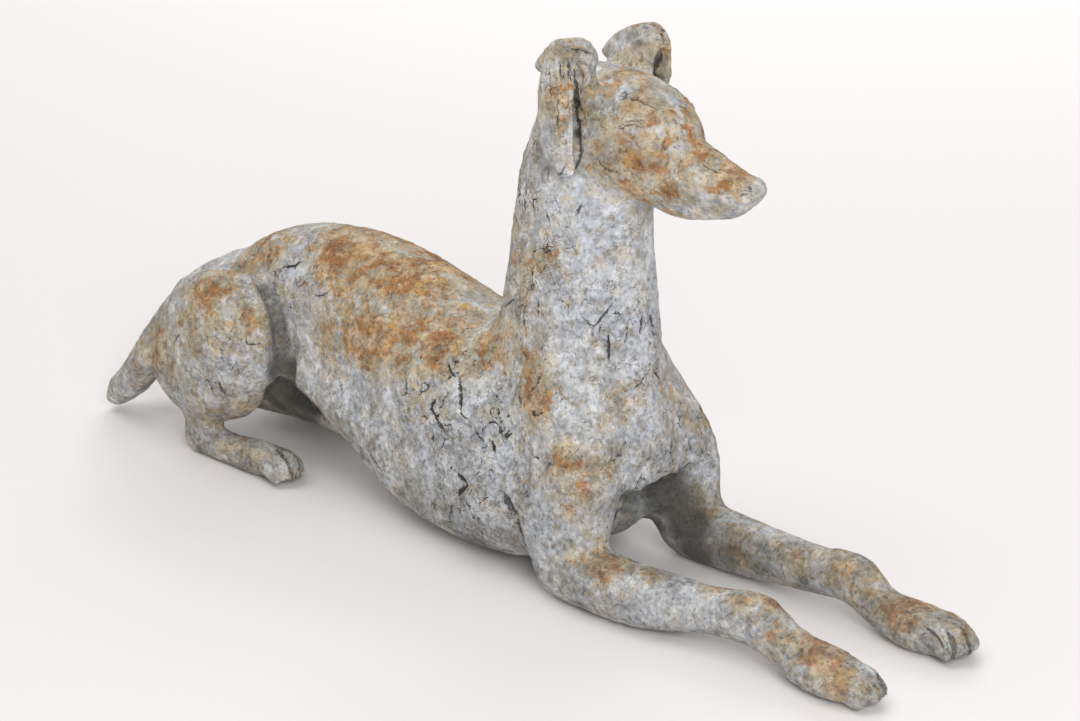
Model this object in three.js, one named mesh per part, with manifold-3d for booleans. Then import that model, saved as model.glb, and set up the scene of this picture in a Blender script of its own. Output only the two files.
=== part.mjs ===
// A life-size greyhound lying with its head up: one hollow-cast garden statue in iron.
//
// Millimetres, +Z up, +X towards the nose, +Y to the dog's left. The sculpt is laid out from
// the point where the hind hocks touch the ground, with the backbone over y = 0, and is set
// over the middle of its own footprint at the end.
//
// The form is built the way a modeller builds it in clay. Every mass (ribcage, neck, thigh,
// forearm, ear) is a "lump": a run of stations along its core, each an ellipse with a half
// width and a half depth. Lumps are worked into each other with a soft join, hollows and
// creases are pressed in with lumps that cut, and the skin of the whole is then faceted.

import * as THREE from 'three';
import Module from 'manifold-3d';

const wasm = await Module();
wasm.setup();

// ---------------------------------------------------------------- driving dimensions

const LOIN_HEIGHT = 232;          // top of the arched back above the ground
const WITHERS_HEIGHT = 200;       // back where the neck rises
const CROUP_HEIGHT = 176;         // back above the tail root
const CHEST_HALF_WIDTH = 82;      // half the ribcage, widest
const LOIN_HALF_WIDTH = 58;       // half the waist
const HIND_TRACK = 73;            // hind feet, out from the backbone
const FORE_TRACK = 59;            // left forefoot, out from the backbone
const POLL_HEIGHT = 433;          // top of the skull
const SOLE_DEPTH = 2;             // how far the soles were flattened into the ground

const GRID_STEP = 4;              // spacing of the grid the skin is read on
const TRIANGLES = 9000;           // facets kept on the finished skin
const SOFTNESS = 9;               // how far neighbouring stations of a lump share the form

const PAINTED_IRON = { color: 0x9aa0a6, roughness: 0.85, metalness: 0.15 };

// ---------------------------------------------------------------- clay lumps

// A smooth curve through the stations, so that a lump has no kinks between them.
function fairStations(stations, steps) {
  const out = [];
  const last = stations.length - 1;
  for (let i = 0; i < last; i += 1) {
    const before = stations[Math.max(i - 1, 0)];
    const from = stations[i];
    const to = stations[i + 1];
    const after = stations[Math.min(i + 2, last)];
    for (let j = 0; j < steps; j += 1) {
      const t = j / steps;
      out.push(from.map((p1, k) => 0.5 * (2 * p1 + (to[k] - before[k]) * t
        + (2 * before[k] - 5 * p1 + 4 * to[k] - after[k]) * t * t
        + (3 * p1 - before[k] - 3 * to[k] + after[k]) * t * t * t)));
    }
  }
  out.push(stations[last]);
  return out;
}

// stations: [x, y, z, half width, half depth]; blend: reach of the soft join;
// side: the direction the half widths are measured in.
function makeLump(stations, blend, { cuts = false, side = [0, 1, 0], steps = 3 } = {}) {
  const fair = fairStations(stations, steps);
  const segments = [];
  const low = [Infinity, Infinity, Infinity];
  const high = [-Infinity, -Infinity, -Infinity];
  let reach = 0;
  for (const station of fair) {
    reach = Math.max(reach, station[3], station[4]);
    for (let k = 0; k < 3; k += 1) {
      low[k] = Math.min(low[k], station[k]);
      high[k] = Math.max(high[k], station[k]);
    }
  }
  const margin = reach + blend + GRID_STEP;
  for (let i = 0; i + 1 < fair.length; i += 1) {
    const a = new THREE.Vector3(...fair[i]);
    const along = new THREE.Vector3(...fair[i + 1]).sub(a);
    const length = along.length();
    along.divideScalar(length);
    segments.push({ a, along, length, from: fair[i], to: fair[i + 1] });
  }
  return {
    segments,
    blend,
    cuts,
    side: new THREE.Vector3(...side).normalize(),
    low: low.map((value) => value - margin),
    high: high.map((value) => value + margin),
    gaps: new Float64Array(segments.length),
  };
}

// Stations over the backbone from a profile of [x, top, bottom, half width].
function fromProfile(profile) {
  return profile.map(([x, top, bottom, width]) => (
    [x, 0, (top + bottom) / 2, width, (top - bottom) / 2]));
}

// The same lump on the other side of the backbone.
function mirrored(stations) {
  return stations.map(([x, y, z, width, depth]) => [x, -y, z, width, depth]);
}

function makePair(stations, blend, options = {}) {
  const side = options.side ?? [0, 1, 0];
  const otherSide = [side[0], -side[1], side[2]];
  return [
    makeLump(stations, blend, options),
    makeLump(mirrored(stations), blend, { ...options, side: otherSide }),
  ];
}

// Signed distance from a point to a lump's surface, close to it. The core point, the frame
// and the ellipse are averaged over the stations near the point, so the form stays fair.
function lumpDistance(lump, x, y, z) {
  const { segments, gaps, side } = lump;
  const reach = SOFTNESS * SOFTNESS;
  let nearest = Infinity;
  for (let i = 0; i < segments.length; i += 1) {
    const { a, along, length } = segments[i];
    const px = x - a.x;
    const py = y - a.y;
    const pz = z - a.z;
    const s = px * along.x + py * along.y + pz * along.z;
    const t = Math.min(Math.max(s, 0), length);
    const dx = px - along.x * t;
    const dy = py - along.y * t;
    const dz = pz - along.z * t;
    gaps[i] = dx * dx + dy * dy + dz * dz;
    nearest = Math.min(nearest, gaps[i]);
  }
  let total = 0;
  let cx = 0;
  let cy = 0;
  let cz = 0;
  let tx = 0;
  let ty = 0;
  let tz = 0;
  let width = 0;
  let depth = 0;
  for (let i = 0; i < segments.length; i += 1) {
    const gap = (gaps[i] - nearest) / reach;
    if (gap > 12) continue;
    const weight = Math.exp(-gap);
    const { a, along, length, from, to } = segments[i];
    const s = (x - a.x) * along.x + (y - a.y) * along.y + (z - a.z) * along.z;
    const t = Math.min(Math.max(s, 0), length);
    const part = t / length;
    total += weight;
    cx += weight * (a.x + along.x * t);
    cy += weight * (a.y + along.y * t);
    cz += weight * (a.z + along.z * t);
    tx += weight * along.x;
    ty += weight * along.y;
    tz += weight * along.z;
    width += weight * (from[3] + (to[3] - from[3]) * part);
    depth += weight * (from[4] + (to[4] - from[4]) * part);
  }
  const size = Math.hypot(tx, ty, tz);
  tx /= size;
  ty /= size;
  tz /= size;
  width /= total;
  depth /= total;
  const lean = side.x * tx + side.y * ty + side.z * tz;
  let lx = side.x - lean * tx;
  let ly = side.y - lean * ty;
  let lz = side.z - lean * tz;
  const lateral = Math.hypot(lx, ly, lz);
  lx /= lateral;
  ly /= lateral;
  lz /= lateral;
  const dx = x - cx / total;
  const dy = y - cy / total;
  const dz = z - cz / total;
  const end = Math.min(width, depth);
  const across = dx * lx + dy * ly + dz * lz;
  const ahead = dx * tx + dy * ty + dz * tz;
  const over = Math.sqrt(Math.max(dx * dx + dy * dy + dz * dz - across * across - ahead * ahead, 0));
  const k0 = Math.hypot(across / width, over / depth, ahead / end) + 1e-9;
  const k1 = Math.hypot(across / width ** 2, over / depth ** 2, ahead / end ** 2) + 1e-12;
  return (k0 * (k0 - 1)) / k1;
}

function softMin(a, b, reach) {
  const h = Math.max(reach - Math.abs(a - b), 0) / reach;
  return Math.min(a, b) - h * h * reach * 0.25;
}

// ---------------------------------------------------------------- the body

// Backbone and underline from tail root to breastbone: [x, back height, belly height, half width].
function torso() {
  const profile = [
    [-5, CROUP_HEIGHT, 84, 44],
    [20, 190, 84, 50],
    [51, 209, 84, 54],
    [95, 226, 80, LOIN_HALF_WIDTH],
    [143, LOIN_HEIGHT, 68, 60],
    [187, 228, 60, 66],
    [229, 217, 44, 72],
    [280, WITHERS_HEIGHT + 3, 22, 79],
    [335, WITHERS_HEIGHT - 4, 10, CHEST_HALF_WIDTH],
    [390, 188, 14, 76],
    [430, 176, 26, 60],
    [455, 163, 46, 44],
  ];
  return [makeLump(fromProfile(profile), 1)];
}

// The ribs spread low on each side, where the dog's weight lies, and the flank tucks up behind.
function flanks() {
  return makePair([
    [110, -28, 104, 32, 30],
    [155, -33, 91, 34, 32],
    [190, -37, 82, 35, 34],
    [225, -41, 68, 36, 37],
    [258, -44, 56, 37, 40],
    [300, -46, 50, 38, 42],
    [351, -50, 52, 38, 44],
    [395, -50, 58, 36, 44],
    [412, -44, 54, 32, 40],
  ], 24);
}

// Between the thighs the underside hangs lower than the flanks.
function groin() {
  return [makeLump([
    [-4, 0, 62, 38, 32],
    [20, 0, 58, 40, 32],
    [60, 0, 64, 42, 33],
    [100, 0, 68, 44, 34],
    [138, 0, 68, 46, 34],
  ], 14)];
}

function neck() {
  return [makeLump([
    [404, 0, 140, 60, 78],
    [402, 0, 195, 58, 76],
    [404, 0, 242, 54, 70],
    [405, 0, 288, 49, 65],
    [409, 0, 330, 45, 62],
    [416, 0, 364, 42, 56],
  ], 26)];
}

// ---------------------------------------------------------------- the legs

// The right elbow is turned out, the left one stands under the shoulder.
function upperArms() {
  const shoulder = [
    [424, -40, 158, 32, 38],
    [438, -52, 128, 30, 42],
  ];
  const right = [
    ...shoulder,
    [448, -60, 96, 28, 43],
    [451, -65, 66, 27, 40],
    [450, -68, 36, 27, 32],
  ];
  const left = [
    ...mirrored(shoulder),
    [456, 60, 96, 28, 42],
    [464, FORE_TRACK + 2, 66, 28, 38],
    [474, FORE_TRACK, 38, 27, 28],
  ];
  return [makeLump(right, 22), makeLump(left, 22)];
}

// Elbow, forearm, wrist, pastern and paw.
function forelegs() {
  const right = [
    [452, -69, 30, 25, 30],
    [490, -71, 29, 26, 28],
    [531, -67, 28, 26, 27],
    [565, -59, 30, 23, 24],
    [593, -54, 32, 20, 20],
    [627, -52, 37, 22, 23],
    [642, -52, 35, 21, 22],
    [665, -54, 27, 18, 20],
    [690, -57, 22, 22, 21],
    [712, -55, 19, 24, 20],
    [730, -51, 14, 20, 14],
    [738, -50, 11, 16, 10],
  ];
  const left = [
    [474, FORE_TRACK, 30, 25, 29],
    [500, FORE_TRACK, 29, 25, 28],
    [540, FORE_TRACK, 29, 23, 26],
    [581, FORE_TRACK, 31, 21, 23],
    [614, FORE_TRACK, 33, 20, 21],
    [643, FORE_TRACK, 37, 21, 22],
    [656, FORE_TRACK - 2, 33, 20, 20],
    [676, FORE_TRACK - 5, 24, 18, 18],
    [704, FORE_TRACK - 5, 19, 24, 20],
    [725, FORE_TRACK - 2, 17, 24, 19],
    [744, FORE_TRACK + 1, 11, 17, 11],
  ];
  return [makeLump(right, 10), makeLump(left, 10)];
}

function thighs() {
  return [
    ...makePair([
      [-27, -64, 77, 33, 51],
      [18, -67, 107, 36, 71],
      [50, -68, 128, 34, 62],
      [74, -66, 138, 26, 50],
    ], 8),
    ...makePair([
      [-30, -30, 98, 30, 42],
      [-4, -22, 130, 36, 38],
    ], 20),
  ];
}

// A fold parts each thigh from the flank, deeper and wider towards the belly, and runs into a
// hollow under the loin. Another hollow runs in under the breast, between the arms.
function folds() {
  return [
    makeLump([
      [532, 1, 74, 24, 24],
      [506, 1, 72, 30, 27],
      [478, 0, 70, 28, 26],
      [452, -2, 62, 22, 18],
    ], 6, { cuts: true }),
    ...makePair([
      [72, -60, 186, 4, 5],
      [92, -60, 172, 6, 7],
      [106, -62, 148, 8, 9],
      [108, -64, 122, 10, 10],
      [102, -60, 98, 13, 11],
    ], 7, { cuts: true }),
    ...makePair([
      [76, -46, 72, 14, 10],
      [100, -47, 75, 19, 15],
      [128, -52, 74, 19, 14],
      [152, -60, 68, 12, 8],
    ], 4, { cuts: true }),
  ];
}

// Lower leg down to the hock, then the long hind foot flat on the ground.
function hindFeet() {
  return [
    ...makePair([
      [34, -70, 80, 26, 34],
      [14, -HIND_TRACK - 2, 54, 20, 24],
      [3, -HIND_TRACK - 1, 34, 16, 17],
      [1, -HIND_TRACK, 18, 16, 18],
    ], 12),
    ...makePair([
      [1, -HIND_TRACK, 16, 16, 18],
      [48, -HIND_TRACK - 1, 15, 15, 16],
      [84, -HIND_TRACK + 1, 17, 18, 18],
      [102, -HIND_TRACK + 2, 14, 15, 13],
      [114, -HIND_TRACK + 3, 10, 12, 8],
    ], 6),
  ];
}

// Four toes side by side on each paw: the knuckles stand up, the tips turn down to the ground and
// furrows are left between them. Places are out from the middle of the paw.
function toes() {
  const paws = [
    { tip: [756, -46], height: 33, heading: 0.2, spread: 11, size: 1 },
    { tip: [766, FORE_TRACK + 1], height: 34, heading: 0.1, spread: 12, size: 1 },
    { tip: [134, -HIND_TRACK + 3], height: 31, heading: 0.06, spread: 11, size: 0.9 },
    { tip: [134, HIND_TRACK - 3], height: 31, heading: -0.06, spread: 11, size: 0.9 },
  ];
  const course = [[-40, -9, 5, 8], [-29, -9, 7, 11], [-17, -14, 7.5, 11], [-8, -21, 7, 9]];
  return paws.flatMap(({ tip, height, heading, spread, size }) => (
    [-1.5, -0.5, 0.5, 1.5].map((place) => {
      const ahead = [Math.cos(heading), Math.sin(heading)];
      const setBack = Math.abs(place) > 1 ? 9 : 0;
      const stations = course.map(([along, rise, width, depth]) => {
        const reach = size * along - setBack;
        const out = place * spread * (1 + along / 160);
        return [
          tip[0] + reach * ahead[0] - out * ahead[1],
          tip[1] + reach * ahead[1] + out * ahead[0],
          height + size * rise - setBack / 3,
          size * width,
          size * depth,
        ];
      });
      return makeLump(stations, 3, { side: [-ahead[1], ahead[0], 0] });
    })));
}

// The tail hangs over the rump to the right, turns out at its foot and ends in a stump.
function tail() {
  return [
    makeLump([
      [-14, 0, 156, 22, 18],
      [-48, -2, 140, 20, 20],
      [-75, -9, 120, 20, 20],
      [-96, -22, 90, 20, 20],
      [-110, -38, 59, 20, 20],
      [-120, -52, 35, 19, 18],
      [-134, -64, 20, 17, 15],
    ], 10),
    makeLump([
      [-168, -64, 26, 16, 30],
      [-154, -96, 8, 16, 30],
    ], 3, { cuts: true }),
  ];
}

// ---------------------------------------------------------------- the head

// Skull and muzzle from the poll to the nose: [x, top, bottom, half width].
function head() {
  const profile = [
    [412, POLL_HEIGHT, 350, 41],
    [446, POLL_HEIGHT + 1, 330, 45],
    [470, POLL_HEIGHT - 6, 324, 42],
    [488, 415, 322, 37],
    [508, 393, 322, 26],
    [524, 389, 324, 24],
    [542, 383, 328, 21],
    [560, 378, 334, 18],
    [573, 375, 345, 14],
    [582, 372, 355, 9],
  ];
  const brow = [
    [474, -20, 402, 12, 13],
    [486, -21, 399, 10, 12],
  ];
  const eye = [
    [472, -33, 392, 7, 4],
    [482, -31, 398, 8, 6],
    [493, -27, 396, 6, 4],
  ];
  return [
    makeLump(fromProfile(profile), 10),
    ...makePair(brow, 10),
    ...makePair(eye, 4),
  ];
}

// Each ear stands on the poll, rolls over along its top and hangs down outside as a flap,
// open to the front between the flap and the skull. The right one sits a little forward.
function ears() {
  const places = [
    { side: -1, forward: 5, lift: 5 },
    { side: 1, forward: 2, lift: 0 },
  ];
  return places.flatMap(({ side, forward, lift }) => {
    const part = (stations, blend, options) => makeLump(
      stations.map(([x, y, z, width, depth]) => [x + forward, y * side, z + lift, width, depth]),
      blend,
      options,
    );
    return [
      part([[420, 33, 408, 15, 26], [421, 37, 436, 9, 22]], 8),
      part([
        [392, 41, 428, 8, 8],
        [408, 42, 442, 9, 9],
        [426, 42, 450, 9, 9],
        [438, 40, 450, 8, 8],
        [444, 38, 442, 6, 6],
        [438, 37, 430, 5, 5],
        [433, 37, 416, 5, 5],
        [430, 37, 402, 5, 5],
      ], 4),
      part([
        [421, 47, 438, 6, 23],
        [422, 56, 409, 6, 22],
        [424, 59, 382, 6, 20],
        [427, 57, 362, 6, 17],
        [430, 53, 350, 6, 11],
      ], 5),
      part([
        [452, 49, 434, 7, 13],
        [450, 50, 408, 7, 14],
        [448, 50, 382, 6, 12],
        [446, 49, 360, 5, 8],
      ], 4, { cuts: true }),
    ];
  });
}

// ---------------------------------------------------------------- reading the skin

// The six tetrahedra of a grid cell, all around its long diagonal. Corner bits are x, y, z.
const TETRAHEDRA = [[0, 1, 3, 7], [0, 3, 2, 7], [0, 2, 6, 7], [0, 6, 4, 7], [0, 4, 5, 7], [0, 5, 1, 7]];

function sampleField(lumps) {
  const low = [0, 1, 2].map((k) => Math.min(...lumps.map((lump) => lump.low[k])));
  const high = [0, 1, 2].map((k) => Math.max(...lumps.map((lump) => lump.high[k])));
  const count = low.map((value, k) => Math.ceil((high[k] - value) / GRID_STEP) + 1);
  const values = new Float64Array(count[0] * count[1] * count[2]).fill(1000);
  for (const lump of lumps) {
    const start = lump.low.map((value, k) => Math.max(Math.floor((value - low[k]) / GRID_STEP), 0));
    const stop = lump.high.map((value, k) => (
      Math.min(Math.ceil((value - low[k]) / GRID_STEP), count[k] - 1)));
    for (let i = start[0]; i <= stop[0]; i += 1) {
      for (let j = start[1]; j <= stop[1]; j += 1) {
        for (let k = start[2]; k <= stop[2]; k += 1) {
          const at = (i * count[1] + j) * count[2] + k;
          const gap = lumpDistance(
            lump, low[0] + i * GRID_STEP, low[1] + j * GRID_STEP, low[2] + k * GRID_STEP);
          values[at] = lump.cuts
            ? -softMin(-values[at], gap, lump.blend)
            : softMin(values[at], gap, lump.blend);
        }
      }
    }
  }
  return { low, count, values };
}

// Marching tetrahedra: always gives one closed skin with its facets pointing out.
function facetSkin({ low, count, values }) {
  const [, ny, nz] = count;
  const offsets = [0, 1, 2, 3, 4, 5, 6, 7].map((c) => ((c & 1) * ny + ((c >> 1) & 1)) * nz + (c >> 2));
  const points = [];
  const faces = [];
  const made = new Map();
  const crossing = (base, ca, cb) => {
    const [lower, upper] = ca < cb ? [ca, cb] : [cb, ca];
    const a = base + offsets[lower];
    const b = base + offsets[upper];
    const key = a * 8 + (upper - lower);
    if (!made.has(key)) {
      const t = Math.min(Math.max(values[a] / (values[a] - values[b]), 0.04), 0.96);
      const place = [a, b].map((at) => [
        Math.floor(at / (ny * nz)), Math.floor(at / nz) % ny, at % nz]);
      made.set(key, points.length);
      points.push(low.map((value, k) => (
        value + GRID_STEP * (place[0][k] + t * (place[1][k] - place[0][k])))));
    }
    return made.get(key);
  };
  const even = [[0, 1, 2, 3], [1, 0, 3, 2], [2, 3, 0, 1], [3, 2, 1, 0]];
  const pairs = [[0, 1, 2, 3], [0, 2, 3, 1], [0, 3, 1, 2], [1, 2, 0, 3], [1, 3, 2, 0], [2, 3, 0, 1]];
  for (let i = 0; i + 1 < count[0]; i += 1) {
    for (let j = 0; j + 1 < ny; j += 1) {
      for (let k = 0; k + 1 < nz; k += 1) {
        const base = (i * ny + j) * nz + k;
        let inside = 0;
        for (let c = 0; c < 8; c += 1) {
          if (values[base + offsets[c]] < 0) inside += 1;
        }
        if (inside === 0 || inside === 8) continue;
        for (const tetra of TETRAHEDRA) {
          const within = tetra.map((c) => values[base + offsets[c]] < 0);
          const number = within.filter(Boolean).length;
          if (number === 1 || number === 3) {
            const order = even[within.indexOf(number === 1)];
            const [v, p, q, r] = order.map((o) => tetra[o]);
            const ring = [crossing(base, v, p), crossing(base, v, q), crossing(base, v, r)];
            if (number === 3) ring.reverse();
            faces.push(ring);
          } else if (number === 2) {
            const order = pairs.find((o) => within[o[0]] && within[o[1]]);
            const [v, w, p, q] = order.map((o) => tetra[o]);
            const ring = [[v, p], [v, q], [w, q], [w, p]].map(([m, n]) => crossing(base, m, n));
            faces.push([ring[0], ring[1], ring[2]], [ring[0], ring[2], ring[3]]);
          }
        }
      }
    }
  }
  return { points, faces };
}

// ---------------------------------------------------------------- thinning the facets

// A small binary heap of possible edge collapses, cheapest first.
class CollapseHeap {
  constructor() {
    this.items = [];
  }

  push(item) {
    const { items } = this;
    let i = items.length;
    items.push(item);
    while (i > 0) {
      const parent = (i - 1) >> 1;
      if (items[parent].cost <= item.cost) break;
      items[i] = items[parent];
      i = parent;
    }
    items[i] = item;
  }

  pop() {
    const { items } = this;
    const top = items[0];
    const last = items.pop();
    const size = items.length;
    if (size > 0) {
      let i = 0;
      for (;;) {
        let child = 2 * i + 1;
        if (child >= size) break;
        if (child + 1 < size && items[child + 1].cost < items[child].cost) child += 1;
        if (items[child].cost >= last.cost) break;
        items[i] = items[child];
        i = child;
      }
      items[i] = last;
    }
    return top;
  }
}

function facetNormal(a, b, c) {
  const ux = b[0] - a[0];
  const uy = b[1] - a[1];
  const uz = b[2] - a[2];
  const vx = c[0] - a[0];
  const vy = c[1] - a[1];
  const vz = c[2] - a[2];
  return [uy * vz - uz * vy, uz * vx - ux * vz, ux * vy - uy * vx];
}

// The quadric of a plane through p with normal n, weighted by the facet's area: ten numbers.
function addPlane(quadric, n, p, weight) {
  const d = -(n[0] * p[0] + n[1] * p[1] + n[2] * p[2]);
  const row = [n[0], n[1], n[2], d];
  let at = 0;
  for (let i = 0; i < 4; i += 1) {
    for (let j = i; j < 4; j += 1) {
      quadric[at] += weight * row[i] * row[j];
      at += 1;
    }
  }
}

function quadricCost(q, p) {
  const [x, y, z] = p;
  return q[0] * x * x + 2 * q[1] * x * y + 2 * q[2] * x * z + 2 * q[3] * x
    + q[4] * y * y + 2 * q[5] * y * z + 2 * q[6] * y
    + q[7] * z * z + 2 * q[8] * z + q[9];
}

// The point where the summed distance to the planes is least, or null where they are parallel.
function quadricPoint(q) {
  const c00 = q[4] * q[7] - q[5] * q[5];
  const c01 = q[2] * q[5] - q[1] * q[7];
  const c02 = q[1] * q[5] - q[2] * q[4];
  const det = q[0] * c00 + q[1] * c01 + q[2] * c02;
  const size = q[0] + q[4] + q[7];
  if (Math.abs(det) < 1e-6 * size * size * size) return null;
  const c11 = q[0] * q[7] - q[2] * q[2];
  const c12 = q[1] * q[2] - q[0] * q[5];
  const c22 = q[0] * q[4] - q[1] * q[1];
  return [
    -(c00 * q[3] + c01 * q[6] + c02 * q[8]) / det,
    -(c01 * q[3] + c11 * q[6] + c12 * q[8]) / det,
    -(c02 * q[3] + c12 * q[6] + c22 * q[8]) / det,
  ];
}

// Collapses the edges that change the skin least, until only the wanted facets are left.
function thinFacets({ points, faces }, wanted) {
  const quadrics = points.map(() => new Float64Array(10));
  const around = points.map(() => []);
  const stamp = new Int32Array(points.length);
  faces.forEach((face, f) => {
    const corners = face.map((v) => points[v]);
    const n = facetNormal(...corners);
    const area = Math.hypot(...n) + 1e-12;
    const unit = n.map((value) => value / area);
    for (const v of face) {
      addPlane(quadrics[v], unit, corners[0], area);
      around[v].push(f);
    }
  });
  // a trace of each point's own place keeps the facets of a flat stretch well shaped
  points.forEach((p, v) => {
    for (let k = 0; k < 3; k += 1) {
      const axis = [0, 0, 0];
      axis[k] = 1;
      addPlane(quadrics[v], axis, p, 0.02);
    }
  });
  const alive = new Uint8Array(faces.length).fill(1);
  const heap = new CollapseHeap();
  const propose = (a, b) => {
    const q = quadrics[a].map((value, k) => value + quadrics[b][k]);
    const middle = points[a].map((value, k) => (value + points[b][k]) / 2);
    const choices = [points[a], points[b], middle];
    const best = quadricPoint(q);
    const reach = Math.hypot(...points[a].map((value, k) => value - points[b][k]));
    if (best && Math.hypot(...best.map((value, k) => value - middle[k])) < reach) choices.push(best);
    let place = choices[0];
    let cost = Infinity;
    for (const choice of choices) {
      const value = quadricCost(q, choice);
      if (value < cost) {
        cost = value;
        place = choice;
      }
    }
    heap.push({ cost, a, b, place, stampA: stamp[a], stampB: stamp[b] });
  };
  const neighbours = (v) => {
    const found = new Set();
    for (const f of around[v]) {
      for (const w of faces[f]) {
        if (w !== v) found.add(w);
      }
    }
    return found;
  };
  const turnsOver = (v, other, place) => around[v].some((f) => {
    if (faces[f].includes(other)) return false;
    const before = facetNormal(...faces[f].map((w) => points[w]));
    const after = facetNormal(...faces[f].map((w) => (w === v ? place : points[w])));
    const dot = before[0] * after[0] + before[1] * after[1] + before[2] * after[2];
    return dot < 0.25 * Math.hypot(...before) * Math.hypot(...after) || Math.hypot(...after) < 0.02;
  });
  for (const [a, b, c] of faces) {
    if (a < b) propose(a, b);
    if (b < c) propose(b, c);
    if (c < a) propose(c, a);
  }
  let left = faces.length;
  while (left > wanted && heap.items.length > 0) {
    const { a, b, place, stampA, stampB } = heap.pop();
    if (stamp[a] !== stampA || stamp[b] !== stampB) continue;
    const near = neighbours(b);
    const shared = [...neighbours(a)].filter((v) => near.has(v));
    if (shared.length !== 2) continue;
    if (turnsOver(a, b, place) || turnsOver(b, a, place)) continue;
    for (const f of around[b]) {
      if (faces[f].includes(a)) {
        alive[f] = 0;
        left -= 1;
        for (const v of shared) {
          if (faces[f].includes(v)) around[v] = around[v].filter((g) => g !== f);
        }
      } else {
        faces[f] = faces[f].map((v) => (v === b ? a : v));
        around[a].push(f);
      }
    }
    around[a] = around[a].filter((f) => alive[f]);
    around[b] = [];
    points[a] = place;
    for (let k = 0; k < 10; k += 1) quadrics[a][k] += quadrics[b][k];
    stamp[a] += 1;
    stamp[b] = -1;
    for (const v of neighbours(a)) propose(a, v);
  }
  return { points, faces: faces.filter((face, f) => alive[f]) };
}

// ---------------------------------------------------------------- solids

function toManifold(points, faces) {
  const number = new Map();
  const vertices = [];
  const corners = [];
  for (const face of faces) {
    for (const v of face) {
      if (!number.has(v)) {
        number.set(v, vertices.length / 3);
        vertices.push(...points[v]);
      }
      corners.push(number.get(v));
    }
  }
  return new wasm.Manifold(new wasm.Mesh({
    numProp: 3,
    vertProperties: new Float32Array(vertices),
    triVerts: new Uint32Array(corners),
  }));
}

// A block of ground below the soles, as a solid.
function groundBlock(size, thickness) {
  const block = new THREE.BoxGeometry(size, size, thickness);
  block.translate(0, 0, -thickness / 2);
  block.deleteAttribute('normal');
  block.deleteAttribute('uv');
  const { position } = block.attributes;
  const number = new Map();
  const points = [];
  const corner = [];
  for (let i = 0; i < position.count; i += 1) {
    const point = [position.getX(i), position.getY(i), position.getZ(i)];
    const key = point.join();
    if (!number.has(key)) {
      number.set(key, points.length);
      points.push(point);
    }
    corner.push(number.get(key));
  }
  const faces = [];
  for (let i = 0; i < block.index.count; i += 3) {
    faces.push([0, 1, 2].map((k) => corner[block.index.getX(i + k)]));
  }
  return toManifold(points, faces);
}

function toGeometry(solid) {
  const { numProp, vertProperties, triVerts } = solid.getMesh();
  const place = new Float32Array((vertProperties.length / numProp) * 3);
  for (let i = 0; i < place.length / 3; i += 1) {
    for (let k = 0; k < 3; k += 1) place[3 * i + k] = vertProperties[i * numProp + k];
  }
  const geometry = new THREE.BufferGeometry();
  geometry.setAttribute('position', new THREE.BufferAttribute(place, 3));
  geometry.setIndex(new THREE.BufferAttribute(new Uint32Array(triVerts), 1));
  geometry.computeVertexNormals();
  return geometry;
}

// ---------------------------------------------------------------- the statue

function buildDog() {
  const lumps = [
    ...torso(), ...flanks(), ...groin(), ...neck(), ...upperArms(), ...forelegs(),
    ...thighs(), ...folds(), ...hindFeet(), ...toes(), ...tail(), ...head(), ...ears(),
  ];
  const skin = thinFacets(facetSkin(sampleField(lumps)), TRIANGLES);
  const points = skin.points.map(([x, y, z]) => [x, y, z - SOLE_DEPTH]);
  const solid = toManifold(points, skin.faces).subtract(groundBlock(3000, 100));
  const geometry = toGeometry(solid);
  geometry.computeBoundingBox();
  const middle = geometry.boundingBox.getCenter(new THREE.Vector3());
  const mesh = new THREE.Mesh(geometry, new THREE.MeshStandardMaterial(PAINTED_IRON));
  mesh.name = 'dog';
  mesh.position.set(-middle.x, -middle.y, 0);
  return mesh;
}

const statue = new THREE.Group();
statue.add(buildDog());

export default statue;
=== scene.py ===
# %% [markdown]
# # A lying greyhound in cast iron, under old flaking paint
#
# The real thing is one hollow casting, life size, that has stood outdoors for decades. A thick
# blue-grey coat was brushed over it more than once. Sun and frost have cracked that coat into
# curling scales, and where they fell off, the iron has gone brown.
#
# The solid model already has the pose and every main form. What it lacks is a skin: its facets
# are some twelve millimetres wide. This lesson lays a fine skin over it, sculpts the small
# forms with soft strokes, breaks the paint with Geometry Nodes, and paints what is left.

# %% Load the frame
import math

import bmesh
import bpy
import numpy as np
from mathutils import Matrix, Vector


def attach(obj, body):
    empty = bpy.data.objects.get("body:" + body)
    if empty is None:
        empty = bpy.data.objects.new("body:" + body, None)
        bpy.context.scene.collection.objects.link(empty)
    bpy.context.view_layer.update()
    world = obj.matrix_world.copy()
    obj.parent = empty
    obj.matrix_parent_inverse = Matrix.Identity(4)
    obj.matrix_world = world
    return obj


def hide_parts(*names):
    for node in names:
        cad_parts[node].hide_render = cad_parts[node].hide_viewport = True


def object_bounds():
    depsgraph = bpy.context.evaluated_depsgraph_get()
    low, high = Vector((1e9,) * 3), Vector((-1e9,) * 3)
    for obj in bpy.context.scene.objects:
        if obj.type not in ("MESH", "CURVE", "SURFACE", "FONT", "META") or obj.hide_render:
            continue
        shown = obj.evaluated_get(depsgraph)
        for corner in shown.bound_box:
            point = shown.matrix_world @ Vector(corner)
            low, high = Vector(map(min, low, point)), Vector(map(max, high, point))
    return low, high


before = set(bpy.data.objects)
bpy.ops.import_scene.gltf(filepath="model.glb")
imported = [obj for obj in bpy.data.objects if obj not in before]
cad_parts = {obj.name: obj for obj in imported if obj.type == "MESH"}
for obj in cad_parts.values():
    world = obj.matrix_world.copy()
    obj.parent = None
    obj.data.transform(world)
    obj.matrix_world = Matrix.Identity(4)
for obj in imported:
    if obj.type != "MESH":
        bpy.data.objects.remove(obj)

CAD_LOW, CAD_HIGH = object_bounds()
MM = 0.001
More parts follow.
